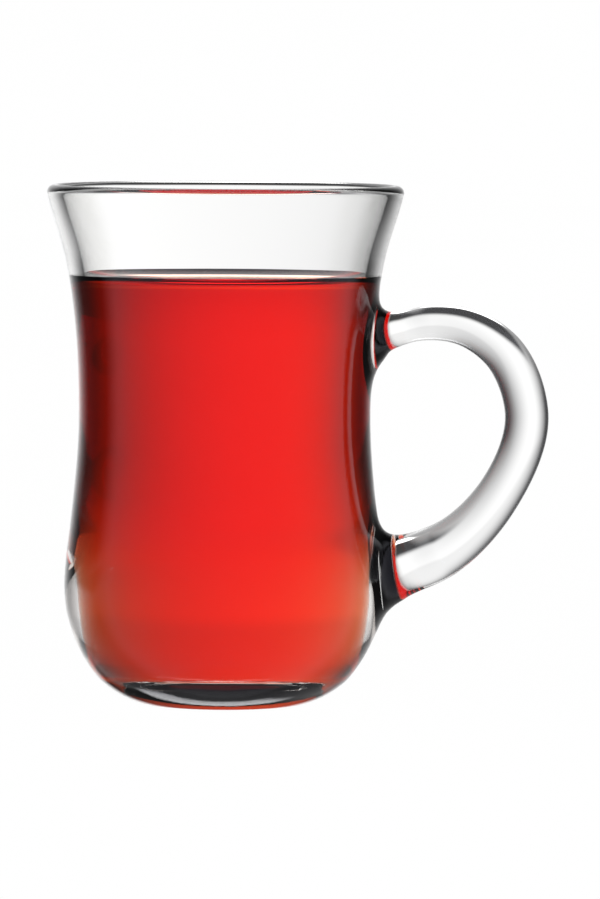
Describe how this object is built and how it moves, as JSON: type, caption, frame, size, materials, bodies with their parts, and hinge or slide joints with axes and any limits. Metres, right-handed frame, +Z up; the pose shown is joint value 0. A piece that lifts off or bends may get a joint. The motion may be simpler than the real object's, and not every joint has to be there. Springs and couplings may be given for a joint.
{
  "type": "turkish tea glass",
  "caption": "Waisted clear glass tea mug with flared lip, rounded heel and ear handle, filled with red tea to below the lip.",
  "frame": {"origin": "on the cup's axis, in the plane that the foot stands on", "axes": "+Z up along the cup's axis, +X towards the handle, the picture is taken from -Y"},
  "size_m": [0.0977, 0.0694, 0.1],
  "materials": {
    "clear_glass": "clear colourless pressed glass, fire-polished, with faint mould waviness",
    "red_tea": "clear brewed black tea, deep red in the body and brown to orange where it is thin"
  },
  "bodies": {
    "root": {"glass": "clear_glass", "tea": "red_tea"}
  },
  "joints": []
}
